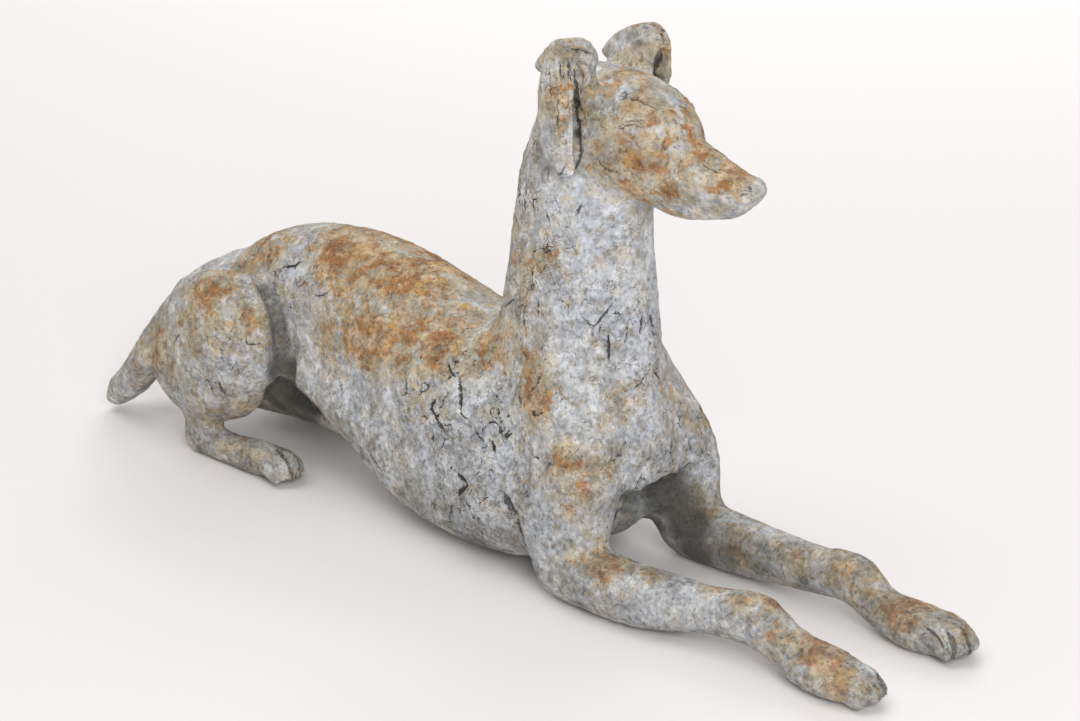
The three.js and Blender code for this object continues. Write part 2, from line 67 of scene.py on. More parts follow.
print("casting, mm:", [round(v / MM, 1) for v in CAD_HIGH - CAD_LOW])

# %% [markdown]
# ## Measures on the dog
#
# A sculptor measures from a fixed point. Here it is the spot where the hind hocks touch the
# ground, 148.65 mm ahead of the tip of the tail: x runs from there towards the nose, y to the
# dog's left, z up, all in millimetres. Everything below that names a place uses these measures.

# %% From millimetres on the dog to metres in the scene
TAIL_REACH = 148.65
HOCK = np.array([CAD_LOW.x / MM + TAIL_REACH, 0.0, 0.0])


def to_scene(place):
    return (np.asarray(place, float) + HOCK) * MM


# %% [markdown]
# ## A fine skin from coarse facets
#
# A voxel remesh turns the faceted solid into an even net of small squares. The net still shows
# the old facets, so it is relaxed: each point moves towards the middle of its neighbours and
# then a little more than that back again. The second move keeps the volume, which plain
# smoothing would shrink, and the ears and toes stay as thick as they were.

# %% Copy the casting and lay the net
SKIN_STEP = 1.8          # mm between the net's points
RELAX_ROUNDS = 30
SOLE_HEIGHT = 0.3        # mm; what lies lower than this belongs to a flat sole


def net_over(mesh, step):
    holder = bpy.data.objects.new("coarse_dog", mesh)
    bpy.context.scene.collection.objects.link(holder)
    remesh = holder.modifiers.new("net", "REMESH")
    remesh.mode = "VOXEL"
    remesh.voxel_size = step * MM
    remesh.adaptivity = 0.0
    evaluated = holder.evaluated_get(bpy.context.evaluated_depsgraph_get())
    skin = bpy.data.meshes.new_from_object(evaluated)
    bpy.data.objects.remove(holder)
    return skin


def merged_copy(node):
    mesh = node.data.copy()
    work = bmesh.new()
    work.from_mesh(mesh)
    bmesh.ops.remove_doubles(work, verts=work.verts, dist=1e-6)
    work.to_mesh(mesh)
    work.free()
    return mesh


skin = net_over(merged_copy(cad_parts["dog"]), SKIN_STEP)
print("net:", len(skin.vertices), "points,", len(skin.polygons), "squares")


# %% Read and write a mesh as arrays of millimetres on the dog
def read_points(mesh):
    flat = np.empty(len(mesh.vertices) * 3)
    mesh.vertices.foreach_get("co", flat)
    return flat.reshape(-1, 3) / MM - HOCK


def write_points(mesh, points):
    mesh.vertices.foreach_set("co", to_scene(points).ravel())
    mesh.update()


def read_normals(mesh):
    flat = np.empty(len(mesh.vertices) * 3)
    mesh.vertices.foreach_get("normal", flat)
    return flat.reshape(-1, 3)


def read_edges(mesh):
    flat = np.empty(len(mesh.edges) * 2, np.int32)
    mesh.edges.foreach_get("vertices", flat)
    return flat.reshape(-1, 2)


# %% Relax the net without shrinking it
def average_of_neighbours(values, edges):
    count = len(values)
    first, second = edges.T
    number = np.bincount(edges.ravel(), minlength=count)
    total = np.stack([
        np.bincount(first, values[second, k], count) + np.bincount(second, values[first, k], count)
        for k in range(values.shape[1])], 1)
    return total / number[:, None]


def relax(points, edges, rounds, there=0.5, back=-0.53):
    for _ in range(rounds):
        for move in (there, back):
            points = points + move * (average_of_neighbours(points, edges) - points)
    return points


def settle(points):
    """Keep the soles flat on the ground, and everything within the casting's own block."""
    low = np.array(CAD_LOW) / MM - HOCK
    high = np.array(CAD_HIGH) / MM - HOCK
    return np.clip(points, low, high)


faceted = read_points(skin)
points = relax(faceted, read_edges(skin), RELAX_ROUNDS)
points[faceted[:, 2] < SOLE_HEIGHT, 2] = 0.0
write_points(skin, settle(points))
moved = np.linalg.norm(points - faceted, axis=1)
print("relaxed: points moved", round(float(moved.mean()), 2), "mm on average,",
      round(float(moved.max()), 2), "at most")

# %% [markdown]
# ## Paths and coils
#
# The founder's pattern was modelled by hand: thin rolls were laid on and smoothed in at the
# edge of an ear, and lines were drawn with a tool. A path is a smooth line through a few
# places. A coil is a round-ended roll along a path, with its own thickness at every place; it
# is joined to the skin, and a second net over both melts them together.

# %% Smooth paths
def smooth_path(places, step=1.0):
    """A line through the places, with a point about every step millimetres."""
    knots = np.array(places, float)
    knots = np.vstack([2 * knots[0] - knots[1], knots, 2 * knots[-1] - knots[-2]])
    line = []
    for before, start, end, after in zip(knots, knots[1:], knots[2:], knots[3:]):
        count = max(int(np.linalg.norm((end - start)[:3]) / step), 1)
        for t in np.arange(count) / count:
            line.append(0.5 * (2 * start + (end - before) * t
                               + (2 * before - 5 * start + 4 * end - after) * t ** 2
                               + (3 * start - before - 3 * end + after) * t ** 3))
    line.append(knots[-2])
    return np.array(line)


# %% Coils: (x, y, z, radius) at each place
def coil_mesh(places, sides=10):
    line = smooth_path(places, 1.5)
    centre, radius = line[:, :3], line[:, 3]
    along = np.gradient(centre, axis=0)
    along /= np.linalg.norm(along, axis=1)[:, None]
    side = np.cross(along, (0.31, 0.84, 0.44))
    side /= np.linalg.norm(side, axis=1)[:, None]
    other = np.cross(along, side)
    turn = np.arange(sides) * math.tau / sides
    rings = []
    for k in range(len(line)):
        rings.append((centre[k], along[k] * 0, radius[k], k))
    for share in (0.5, 0.87, 0.99):
        drop = math.sqrt(1 - share ** 2)
        rings.insert(0, (centre[0], -along[0] * radius[0] * share, radius[0] * drop, 0))
        rings.append((centre[-1], along[-1] * radius[-1] * share, radius[-1] * drop, -1))
    corners = [to_scene(middle + shift + size * (side[k] * math.cos(a) + other[k] * math.sin(a)))
               for middle, shift, size, k in rings for a in turn]
    faces = [(r * sides + s, (r + 1) * sides + s, (r + 1) * sides + (s + 1) % sides,
              r * sides + (s + 1) % sides)
             for r in range(len(rings) - 1) for s in range(sides)]
    faces.append(tuple(range(sides)))
    faces.append(tuple(range(len(corners) - 1, len(corners) - 1 - sides, -1)))
    mesh = bpy.data.meshes.new("coil")
    mesh.from_pydata([tuple(c) for c in corners], [], faces)
    return mesh


NEAR_EAR_COILS = {
    "rim": [(410, -50, 447, 3.5), (428, -52, 456, 4.5), (443, -50, 458, 4.5),
            (452, -44, 454, 4.0), (453, -40, 447, 3.0)],
    "inner curl": [(446, -51, 444, 3.5), (451, -48, 439, 4.5), (450, -46, 431, 4.5),
                   (445, -47, 424, 3.0)],
    "small lobe": [(442, -46, 406, 3.5), (442, -45, 400, 4.0)],
}
FAR_EAR_COILS = {
    "inner roll": [(430, 32, 440, 3.0), (440, 33, 446, 4.5), (449, 38, 448, 4.0)],
    "cup edge": [(424, 46, 452, 4.0), (437, 50, 452, 4.5), (443, 54, 442, 4.5),
                 (443, 57, 428, 4.0), (442, 58, 412, 3.5), (441, 57, 398, 3.0)],
}
TAIL_COILS = {
    "tail foot": [(-116, -71, 28, 13), (-98, -72, 42, 16), (-74, -77, 62, 16),
                  (-50, -86, 84, 12)],
}
COILS = {**NEAR_EAR_COILS, **FAR_EAR_COILS, **TAIL_COILS}


def with_coils(skin, coils):
    work = bmesh.new()
    work.from_mesh(skin)
    for places in coils.values():
        mesh = coil_mesh(places)
        work.from_mesh(mesh)
        bpy.data.meshes.remove(mesh)
    joined = bpy.data.meshes.new("dog_and_coils")
    bmesh.ops.recalc_face_normals(work, faces=work.faces)
    work.to_mesh(joined)
    work.free()
    return joined


# %% Sweep out what the net leaves loose
def sweep(mesh):
    """Keep the largest connected skin; a net can leave a crumb closed in at a thin place."""
    work = bmesh.new()
    work.from_mesh(mesh)
    seen = set()
    islands = []
    for start in work.verts:
        if start in seen:
            continue
        seen.add(start)
        island = [start]
        for point in island:
            for edge in point.link_edges:
                other = edge.other_vert(point)
                if other not in seen:
                    seen.add(other)
                    island.append(other)
        islands.append(island)
    islands.sort(key=len)
    crumbs = [point for island in islands[:-1] for point in island]
    bmesh.ops.delete(work, geom=crumbs, context="VERTS")
    work.to_mesh(mesh)
    work.free()
    return len(islands) - 1


# %% Lay the coils and net both together
FINE_STEP = 1.6          # mm between the points of the second net
MELT_ROUNDS = 3          # enough to round the joint between a coil and the skin
skin = net_over(with_coils(skin, COILS), FINE_STEP)
print("crumbs swept out:", sweep(skin))
netted = read_points(skin)
points = relax(netted, read_edges(skin), MELT_ROUNDS)
points[netted[:, 2] < SOLE_HEIGHT, 2] = 0.0
points = settle(points)
write_points(skin, points)
print("second net:", len(skin.vertices), "points;", len(COILS), "coils")

# %% [markdown]
# ## Strokes
#
# A stroke raises or presses the skin along a path. Its width is the distance at which it has
# nearly died away, and it thins out towards both ends like the mark of a loop tool. What is
# done to one side of the dog is done to the other. Some of the places were worked out outside
# this script and typed in, as those of the drawn lines below were.

# %% Strokes: name -> (width in mm, lift in mm, places)
STROKES = {
    "eyeball": (9.0, 1.6, [(477, -39, 395), (484, -37, 398), (492, -33, 399)]),
    "upper lid": (3.0, 2.4, [(472, -40, 397), (478, -38, 400), (486, -36, 405), (496, -31, 402)]),
    "brow ridge": (3.6, 2.6, [(466, -27, 425), (478, -24, 423), (488, -20, 420), (498, -17, 415)]),
    "brow pit": (3.4, -3.4, [(465, -26, 419), (470, -26, 419)]),
    "cheek": (13.0, 1.8, [(474, -41, 378), (486, -37, 368)]),
    "lip": (4.0, 1.6, [(520, -24, 355), (545, -20, 350), (570, -16, 352)]),
    "flap edge": (2.6, 2.4, [(443, -61, 422), (445, -63, 404), (445, -64, 386), (445, -63, 370)]),
    "ear rim": (3.4, 2.2, [(410, -49, 450), (424, -52, 458), (440, -50, 461), (450, -44, 458)]),
    "hip knob": (10.0, 4.0, [(50, -66, 184), (64, -67, 182), (77, -70, 170), (86, -73, 150),
                             (88, -76, 132)]),
    "hip fold": (6.0, -4.5, [(72, -61, 180), (84, -59, 168), (93, -58, 154), (98, -59, 138),
                             (99, -59, 120), (96, -57, 106)]),
    "breast hollow": (12.0, -7.0, [(466, -40, 62), (478, -34, 78), (490, -24, 92)]),
    "fore toes": (5.0, 2.0, [(724, 44, 36), (738, 44, 31), (747, 44, 24)]),
    "rump hollow": (10.0, -2.0, [(20, -50, 186), (50, -42, 194), (84, -42, 192)]),
    "tail edge": (5.0, 1.8, [(-20, -40, 156), (-60, -60, 110), (-96, -72, 66)]),
    "elbow crease": (5.0, -3.0, [(387, -84, 82), (399, -86, 72), (408, -86, 58), (415, -84, 38)]),
    "wrist": (9.0, 1.6, [(612, -66, 60), (630, -64, 58)]),
}


def mirrored(places):
    return [(x, -y, z) for x, y, z in places]


def beside(path, points, normals, reach):
    """Points within reach of a path: which, how far off, how far along, and on which side."""
    near = np.all((points > path.min(0) - reach) & (points < path.max(0) + reach), axis=1)
    chosen = np.flatnonzero(near)
    offset = points[chosen, None] - path[None]
    gaps = np.linalg.norm(offset, axis=2)
    closest = gaps.argmin(1)
    rows = np.arange(len(chosen))
    ahead = np.gradient(path, axis=0)[closest]
    across = np.cross(normals[chosen], ahead)
    across /= np.linalg.norm(across, axis=1)[:, None] + 1e-9
    side = (offset[rows, closest] * across).sum(1)
    return chosen, gaps[rows, closest], closest / (len(path) - 1), side


def press(points, normals, width, lift, places):
    chosen, gap, along, _ = beside(smooth_path(places), points, normals, width * 2.5)
    ends = np.clip(np.minimum(along, 1 - along) * 5, 0.25, 1.0)
    move = lift * np.exp(-2.0 * (gap / width) ** 2) * ends
    points[chosen] += normals[chosen] * move[:, None]
    return round(float(move[np.abs(move).argmax()]), 1)


normals = read_normals(skin)
reached = {name: press(points, normals, *stroke) for name, stroke in STROKES.items()}
for width, lift, places in STROKES.values():
    press(points, normals, width, lift, mirrored(places))
points = settle(points)
write_points(skin, points)
print("strokes, mm deep or high:", reached)

# %% [markdown]
# ## Drawn lines
#
# Some lines are too sharp for a stroke: the slits of the eyes, the gaps between the toes, and
# the widest cracks in the paint. For these every point of the skin keeps two numbers: how far
# it lies to one side of the line, and how wide the line is there. The distance has a sign, so
# it runs through zero exactly on the line, however coarse the net.
#
# These places weren't worked out from the frame. They were worked out outside this script and
# typed in, most of them moved by a few millimetres at most. Lines that follow from a few
# driving dimensions would be the better example.

# %% Lines: name -> (half width in mm, places)
FACE_LINES = {
    "eye slit": (0.45, [(472, -40, 394), (478, -38, 396), (485, -36, 400), (494, -32, 399)]),
    "lid fold": (0.35, [(477, -38, 400), (486, -35, 406), (495, -30, 405)]),
    "under brow": (0.5, [(474, -26, 417), (482, -23, 417), (490, -20, 413), (498, -18, 410)]),
    "brow pit": (0.7, [(465, -26, 419), (468, -26, 419), (471, -26, 418)]),
    "jaw": (0.6, [(456, -43, 368), (460, -42, 363), (466, -41, 359), (475, -39, 359)]),
    "cheek bend": (0.35, [(466, -41, 346), (478, -36, 341), (486, -31, 342)]),
    "nostril": (0.8, [(578, -9, 364), (582, -8, 363)]),
    "lip end": (0.6, [(573, -11, 357), (579, -9, 359)]),
    "nose furrow": (0.4, [(536, -13, 375), (546, -13, 372), (556, -11, 370)]),
}
EAR_LINES = {
    "strap": (0.5, [(434, -51, 451), (443, -50, 451), (450, -46, 450), (453, -42, 447)]),
    "band outside": (1.0, [(440, -53, 440), (443, -52, 431), (441, -48, 422), (441, -47, 410)]),
    "band inside": (0.6, [(452, -43, 444), (451, -42, 436), (447, -42, 426)]),
    "flap inside": (1.8, [(441, -50, 418), (436, -44, 400), (438, -44, 382), (438, -44, 366),
                          (431, -44, 352)]),
    "flap grain": (0.6, [(425, -53, 443), (428, -55, 436), (432, -58, 427)]),
    "flap grain 2": (0.6, [(432, -51, 446), (435, -53, 439), (438, -56, 430)]),
    "flap grain 3": (0.5, [(416, -54, 436), (421, -59, 424), (426, -62, 411)]),
    "flap grain 4": (0.5, [(430, -60, 418), (433, -63, 407), (434, -64, 390)]),
    "flap foot": (0.5, [(442, -61, 366), (434, -59, 356), (414, -46, 342)]),
}
TOE_LINES = {
    "hind": (1.7, [(99, -68, 29), (114, -74, 29), (121, -76, 26), (126, -78, 21),
                   (130, -79, 14), (128, -77, 5)]),
    "hind 2": (1.8, [(103, -57, 28), (114, -58, 23), (123, -63, 21), (129, -66, 14),
                     (132, -68, 5)]),
    "fore": (1.3, [(728, 38, 30), (738, 37, 26), (744, 36, 22), (748, 36, 15)]),
    "fore 2": (1.8, [(744, 46, 28), (751, 44, 21), (755, 42, 15), (758, 41, 6)]),
    "fore 3": (1.2, [(748, 59, 29), (759, 54, 24), (763, 51, 17), (764, 50, 8)]),
}
PAINT_CRACKS = {
    "flank top": (0.9, [(308, -61, 166), (315, -64, 161), (323, -66, 156)]),
    "flank": (1.2, [(326, -65, 160), (334, -72, 147), (338, -76, 134), (348, -77, 129)]),
    "flank hook": (1.5, [(310, -76, 138), (306, -78, 129), (312, -80, 122), (326, -81, 111)]),
    "shoulder": (1.1, [(357, -78, 123), (361, -79, 118), (367, -78, 116)]),
    "shoulder 2": (1.2, [(374, -77, 119), (379, -78, 108)]),
    "belly": (1.7, [(336, -85, 84), (353, -86, 76), (345, -88, 64), (353, -88, 56)]),
    "under the arm": (0.8, [(387, -84, 83), (399, -86, 72), (408, -86, 60), (415, -83, 38)]),
    "neck foot": (1.1, [(391, -54, 237), (388, -54, 226), (392, -56, 214)]),
    "neck foot 2": (0.8, [(404, -54, 241), (406, -55, 229)]),
    "throat foot": (0.6, [(442, -45, 237), (452, -40, 228), (457, -35, 236), (464, -29, 247)]),
    "throat foot 2": (0.8, [(461, -32, 223), (463, -33, 211), (463, -33, 198)]),
    "breast": (0.7, [(476, -17, 173), (478, -11, 178), (479, -5, 183)]),
    "throat": (0.8, [(474, -5, 233), (475, -8, 217)]),
    "withers": (0.8, [(355, -42, 220), (374, -49, 235)]),
    "nape": (1.3, [(361, -31, 330), (364, -34, 317), (371, -40, 308)]),
    "nape 2": (1.1, [(375, -39, 322), (379, -43, 308)]),
    "nape 3": (1.0, [(389, -44, 322), (393, -45, 309)]),
    "neck": (0.9, [(404, -46, 317), (411, -47, 305)]),
    "neck 2": (0.8, [(438, -40, 327), (434, -42, 316)]),
    "ear back": (1.2, [(409, -57, 425), (410, -59, 417)]),
    "ear back 2": (0.9, [(410, -62, 396), (412, -62, 386)]),
    "poll": (1.0, [(386, -38, 366), (388, -38, 355)]),
    "thigh": (1.0, [(40, -101, 87), (46, -100, 87), (48, -99, 78)]),
    "thigh 2": (1.0, [(56, -98, 92), (58, -97, 84), (61, -96, 77)]),
    "thigh 3": (0.5, [(86, -89, 139), (88, -88, 131), (96, -82, 132)]),
    "thigh 4": (0.6, [(9, -102, 124), (-3, -101, 110)]),
    "rump": (0.8, [(88, -46, 193), (98, -46, 196), (106, -45, 199), (111, -41, 205)]),
    "loin": (0.5, [(137, -54, 182), (145, -55, 182), (156, -52, 188)]),
    "streak": (0.9, [(177, -64, 120), (184, -67, 108), (188, -69, 98)]),
    "streak 2": (0.8, [(268, -71, 149), (273, -75, 134), (268, -76, 128)]),
    "belly edge": (1.1, [(222, -78, 68), (233, -80, 61), (246, -80, 52)]),
}


LINE_REACH = 9.0         # mm from a line at which a point no longer knows of it
LINE_STEP = 0.5          # mm between the points of a line


def draw_lines(points, normals, lines):
    """For every point: how far beside the nearest line it lies, and half that line's width."""
    side = np.full(len(points), LINE_REACH)
    width = np.zeros(len(points))
    for half, places in lines:
        line = smooth_path(places, LINE_STEP)
        chosen, gap, along, off = beside(line, points, normals, LINE_REACH)
        ends = np.clip(np.minimum(along, 1 - along) * 4, 0.0, 1.0) ** 0.7
        close = (np.clip((LINE_REACH / 2 - np.abs(off)) / 2.0, 0, 1)
                 * np.clip((LINE_REACH - gap) / 3.0, 0, 1))
        here = half * ends * close
        better = here - np.abs(off) > width[chosen] - np.abs(side[chosen])
        side[chosen[better]] = off[better]
        width[chosen[better]] = here[better]
    return side, width


def keep_on(mesh, name, values):
    layer = mesh.attributes.new(name, "FLOAT", "POINT")
    layer.data.foreach_set("value", np.asarray(values, np.float32))


FAR_EAR = np.array((-3.0, 0.0, -5.0))     # it stands a little farther back and lower
lines = [line for group in (FACE_LINES, TOE_LINES, PAINT_CRACKS, EAR_LINES)
         for line in group.values()]
lines += [(half, mirrored(places)) for group in (FACE_LINES, TOE_LINES, PAINT_CRACKS)
          for half, places in group.values()]
lines += [(half, np.array(mirrored(places)) + FAR_EAR) for half, places in EAR_LINES.values()]
normals = read_normals(skin)
line_side, line_width = draw_lines(points, normals, lines)
keep_on(skin, "line_side", line_side)
keep_on(skin, "line_width", line_width)
print(len(lines), "lines drawn over", int((line_width > np.abs(line_side)).sum()), "points")

# %% [markdown]
# ## The paint bench
#
# The same pattern has to break the surface and colour it, so it is written once, as Python
# expressions. The bench turns them into nodes, in a geometry tree and in a material alike.

# %% Wires and a bench to solder them on
class Wire:
    """A number, colour or vector on its way through a node tree."""

    def __init__(self, bench, socket):
        self.bench = bench
        self.socket = socket

    def __add__(self, other):
        return self.bench.maths("ADD", self, other)

    def __sub__(self, other):
        return self.bench.maths("SUBTRACT", self, other)

    def __mul__(self, other):
        return self.bench.maths("MULTIPLY", self, other)

    def __truediv__(self, other):
        return self.bench.maths("DIVIDE", self, other)

    def __radd__(self, other):
        return self.bench.maths("ADD", other, self)

    def __rsub__(self, other):
        return self.bench.maths("SUBTRACT", other, self)

    def __rmul__(self, other):
        return self.bench.maths("MULTIPLY", other, self)

    def __rtruediv__(self, other):
        return self.bench.maths("DIVIDE", other, self)

    def least(self, other):
        return self.bench.maths("MINIMUM", self, other)

    def most(self, other):
        return self.bench.maths("MAXIMUM", self, other)

    def rise(self, low, high):
        """0 below low, 1 above high, and a smooth rise between them."""
        node = self.bench.node(
            "ShaderNodeMapRange", {"interpolation_type": "SMOOTHSTEP"},
            {"Value": self, "From Min": low, "From Max": high, "To Min": 0.0, "To Max": 1.0})
        return self.bench.wire(node, "Result")


class Bench:
    """Adds nodes to one tree."""

    def __init__(self, tree):
        self.tree = tree
        tree.nodes.clear()

    def node(self, kind, settings=None, inputs=None):
        made = self.tree.nodes.new(kind)
        for name, value in (settings or {}).items():
            setattr(made, name, value)
        for name, value in (inputs or {}).items():
            socket = made.inputs[name]
            if isinstance(value, Wire):
                self.tree.links.new(value.socket, socket)
            else:
                socket.default_value = value
        return made

    def wire(self, node, output):
        return Wire(self, node.outputs[output])

    def maths(self, operation, first, second):
        return self.wire(
            self.node("ShaderNodeMath", {"operation": operation}, {0: first, 1: second}), 0)

    def blend(self, amount, first, second):
        """Colours, mixed by amount."""
        node = self.node(
            "ShaderNodeMix", {"data_type": "RGBA"}, {0: amount, 6: first, 7: second})
        return self.wire(node, 2)

    def vector(self, operation, first, second):
        """ADD, SUBTRACT or MULTIPLY two vectors, part by part."""
        return self.wire(
            self.node("ShaderNodeVectorMath", {"operation": operation}, {0: first, 1: second}), 0)

    def scaled(self, vector, amount):
        return self.wire(self.node(
            "ShaderNodeVectorMath", {"operation": "SCALE"}, {0: vector, "Scale": amount}), 0)

    def grain(self, place, size_mm, detail=3.0, rough=0.55, output="Fac"):
        """Noise whose lumps are about size_mm across."""
        node = self.node(
            "ShaderNodeTexNoise", {"noise_dimensions": "3D"},
            {"Vector": place, "Scale": 1.0 / (size_mm * MM), "Detail": detail,
             "Roughness": rough})
        return self.wire(node, output)

    def crease(self, place, size_mm, width):
        """Thin wandering lines: 1 where noise passes through its middle value, else 0."""
        off = self.maths("ABSOLUTE", self.grain(place, size_mm, 4, 0.6) - 0.5, 0.0)
        return 1.0 - off.rise(0.0, width)

    def strayed(self, place, size_mm, reach_mm, detail=2.0):
        """The place, pushed about by noise: up to about reach_mm."""
        drift = self.vector("SUBTRACT", self.grain(place, size_mm, detail, output="Color"),
                            (0.5, 0.5, 0.5))
        return self.vector("ADD", place, self.scaled(drift, reach_mm * 2 * MM))

    def gap(self, place, size_mm):
        """Millimetres to the seam between cells about size_mm across."""
        node = self.node(
            "ShaderNodeTexVoronoi", {"voronoi_dimensions": "3D", "feature": "DISTANCE_TO_EDGE"},
            {"Vector": place, "Scale": 1.0 / (size_mm * MM)})
        return self.wire(node, "Distance") * size_mm

    def cell(self, place, size_mm):
        """One number from 0 to 1 for each of those cells."""
        node = self.node(
            "ShaderNodeTexVoronoi", {"voronoi_dimensions": "3D", "feature": "F1"},
            {"Vector": place, "Scale": 1.0 / (size_mm * MM)})
        picked = self.node("ShaderNodeVectorMath", {"operation": "DOT_PRODUCT"},
                           {0: self.wire(node, "Color"), 1: (1.0, 0.0, 0.0)})
        return self.wire(picked, "Value")


# %% [markdown]
# ## Where the paint has gone, and where shade is painted
#
# Rain lies on the back, the rump, the brow and the tops of the forelegs, and the paint went
# there first. On the shoulder, the flank and the neck it still hangs on in cracked scales, and
# lower down it is sound and has kept its blue. Shade is painted into the hollows, the folds, the
# undersides and the ear recesses, where light hardly reaches. Each of these is a soft ball around
# a spot on the dog; one on its flank is there on both sides. Only the last list is for the left
# side alone: painted shade in the far ear's cup, and on the left foreleg's inner face.

# %% Places: (x, y, z), reach in mm, how much
WORN = {
    "rump": ((52, -30, 198), 40, 0.80),
    "loin": ((145, -28, 214), 36, 0.95),
    "loin top": ((180, -25, 218), 40, 1.0),
    "loin side": ((162, -60, 160), 24, 0.75),
    "back": ((228, -25, 206), 50, 1.0),
    "back side": ((215, -62, 166), 40, 1.0),
    "back side 2": ((250, -56, 176), 36, 0.95),
    "ribs": ((290, -50, 176), 40, 1.0),
    "withers": ((345, -45, 188), 40, 0.80),
    "shoulder top": ((400, -60, 190), 20, 0.80),
    "shoulder": ((414, -68, 168), 24, 0.95),
    "upper arm": ((460, -79, 126), 22, 0.72),
    "upper arm front": ((468, -70, 110), 34, 0.60),
    "breast front": ((475, -24, 163), 22, 0.55),
    "haunch top": ((40, -88, 170), 34, 0.95),
    "haunch": ((35, -100, 138), 36, 0.60),
    "haunch front": ((82, -84, 152), 18, 0.90),
    "haunch rear": ((-26, -94, 100), 34, 0.75),
    "tail": ((-60, -68, 100), 50, 0.60),
    "face": ((500, -26, 378), 60, 0.66),
    "brow": ((478, -24, 411), 14, 0.90),
    "crown": ((455, -14, 430), 30, 0.55),
    "cheek": ((490, -37, 374), 14, 1.0),
    "lip": ((513, -25, 352), 14, 1.0),
    "bridge": ((530, -8, 384), 22, 0.90),
    "muzzle": ((556, -10, 368), 24, 1.0),
    "jaw": ((484, -26, 338), 20, 0.75),
    "ear": ((430, -56, 425), 40, 0.50),
    "right forearm": ((500, -85, 51), 22, 0.95),
    "right forearm 2": ((545, -72, 52), 14, 0.75),
    "right wrist": ((626, -62, 56), 17, 0.80),
    "right pastern": ((672, -70, 40), 20, 0.75),
    "right paw": ((704, -60, 42), 26, 1.1),
    "right toes": ((728, -66, 26), 20, 0.80),
    "left elbow": ((500, 48, 60), 16, 0.80),
    "left forearm": ((540, 42, 40), 22, 0.70),
    "left forearm 2": ((590, 42, 46), 22, 0.85),
    "left wrist": ((640, 44, 54), 20, 0.80),
    "left pastern": ((690, 40, 38), 22, 0.80),
    "left paw": ((708, 34, 34), 18, 1.0),
    "left toes": ((745, 60, 26), 16, 0.60),
    "hind foot": ((60, -84, 30), 60, 0.40),
    "neck side": ((395, -50, 270), 40, 0.40),
    "breast": ((485, -50, 140), 40, 0.35),
}
SCALING = {
    "shoulder": ((395, -74, 140), 60, 1.0),
    "flank": ((330, -72, 140), 60, 0.9),
    "belly": ((350, -85, 70), 60, 0.8),
    "neck": ((400, -48, 270), 60, 0.7),
    "nape": ((372, -36, 335), 44, 1.0),
    "chest": ((472, -14, 215), 50, 0.7),
    "breast": ((494, -30, 110), 40, 0.6),
    "haunch": ((60, -95, 110), 50, 0.4),
    "hip": ((100, -50, 190), 40, 0.8),
    "rump": ((30, -30, 195), 50, 0.5),
    "ear": ((430, -56, 415), 40, 0.5),
}
SOUND = {
    "neck": ((446, -36, 310), 34, 1.0),
    "throat": ((456, -32, 240), 50, 1.0),
    "chest": ((474, -14, 165), 50, 0.8),
    "flank": ((345, -80, 95), 70, 0.7),
    "elbow": ((435, -88, 62), 36, 1.0),
    "haunch": ((70, -96, 118), 22, 1.0),
    "forearm": ((566, -78, 42), 40, 0.9),
    "left arm": ((495, 50, 80), 50, 0.7),
    "loin flank": ((215, -72, 112), 40, 0.6),
    "brow patch": ((466, -26, 421), 8, 1.0),
    "lids": ((486, -36, 401), 11, 0.9),
    "chin": ((556, -18, 350), 16, 1.0),
    "cheek front": ((500, -30, 354), 8, 0.8),
    "hip": ((104, -44, 200), 18, 1.0),
}
# Painted shade: the colour is darkened where shade falls, in hollows and folds, under the body and
# the tail, and in the ear recesses.
PAINTED_SHADE_PLACES = {
    "loin hollow": ((104, -40, 60), 28, 1.0),
    "loin hollow front": ((150, -56, 70), 16, 1.0),
    "loin hollow back": ((74, -36, 62), 22, 1.0),
    "fold": ((100, -56, 100), 18, 0.85),
    "flank foot": ((300, -86, 40), 34, 0.32),
    "belly side": ((350, -88, 36), 36, 0.38),
    "belly": ((360, -70, 8), 40, 0.60),
    "belly front": ((440, -40, 30), 40, 0.7),
    "under the arm": ((408, -86, 40), 24, 0.45),
    "under the breast": ((480, 0, 60), 32, 1.0),
    "behind the breast": ((470, -38, 64), 15, 0.9),
    "edge of the breast": ((484, -30, 82), 13, 0.8),
    "under the rump": ((0, -40, 50), 50, 0.7),
    "behind the thigh": ((-36, -92, 70), 14, 0.45),
    "under the tail": ((-78, -66, 50), 26, 0.6),
    "throat": ((470, -6, 325), 18, 0.40),
    "ear recess": ((437, -45, 386), 6, 0.9),
    "ear recess top": ((439, -47, 408), 6, 0.9),
}
PAINTED_SHADE_PLACES.update({f"hip fold {step}": (place, 10, 0.72)
              for step, place in enumerate(smooth_path(STROKES["hip fold"][2], 6.0)[1:])})
# Painted shade on the left side only: the far ear's cup and the left foreleg's inner face.
FAR_SIDE_PAINTED_SHADE_PLACES = {
    "cup": ((442, 44, 426), 10, 1.0),
    "cup low": ((438, 48, 408), 9, 0.9),
    "inside the arm": ((474, 30, 64), 26, 1.0),
    "inside the elbow": ((492, 34, 42), 24, 1.0),
    "foot of the elbow": ((500, 36, 16), 24, 0.90),
    "inside the forearm": ((530, 34, 20), 26, 0.55),
    "inside the foreleg": ((570, 34, 20), 34, 0.42),
    "inside the wrist": ((620, 34, 22), 34, 0.38),
    "inside the pastern": ((680, 34, 18), 34, 0.38),
    "inside the paw": ((735, 36, 12), 18, 0.40),
}


def spread(points, places, sides=(1, -1)):
    """How strongly each point lies in the named places, from 0 to about 1."""
    total = np.zeros(len(points))
    for place, reach, much in places.values():
        for side in sides:
            middle = np.array(place, float) * (1, side, 1)
            gap = np.linalg.norm(points - middle, axis=1) / reach
            total = np.maximum(total, much * np.exp(-gap ** 2))
    return total


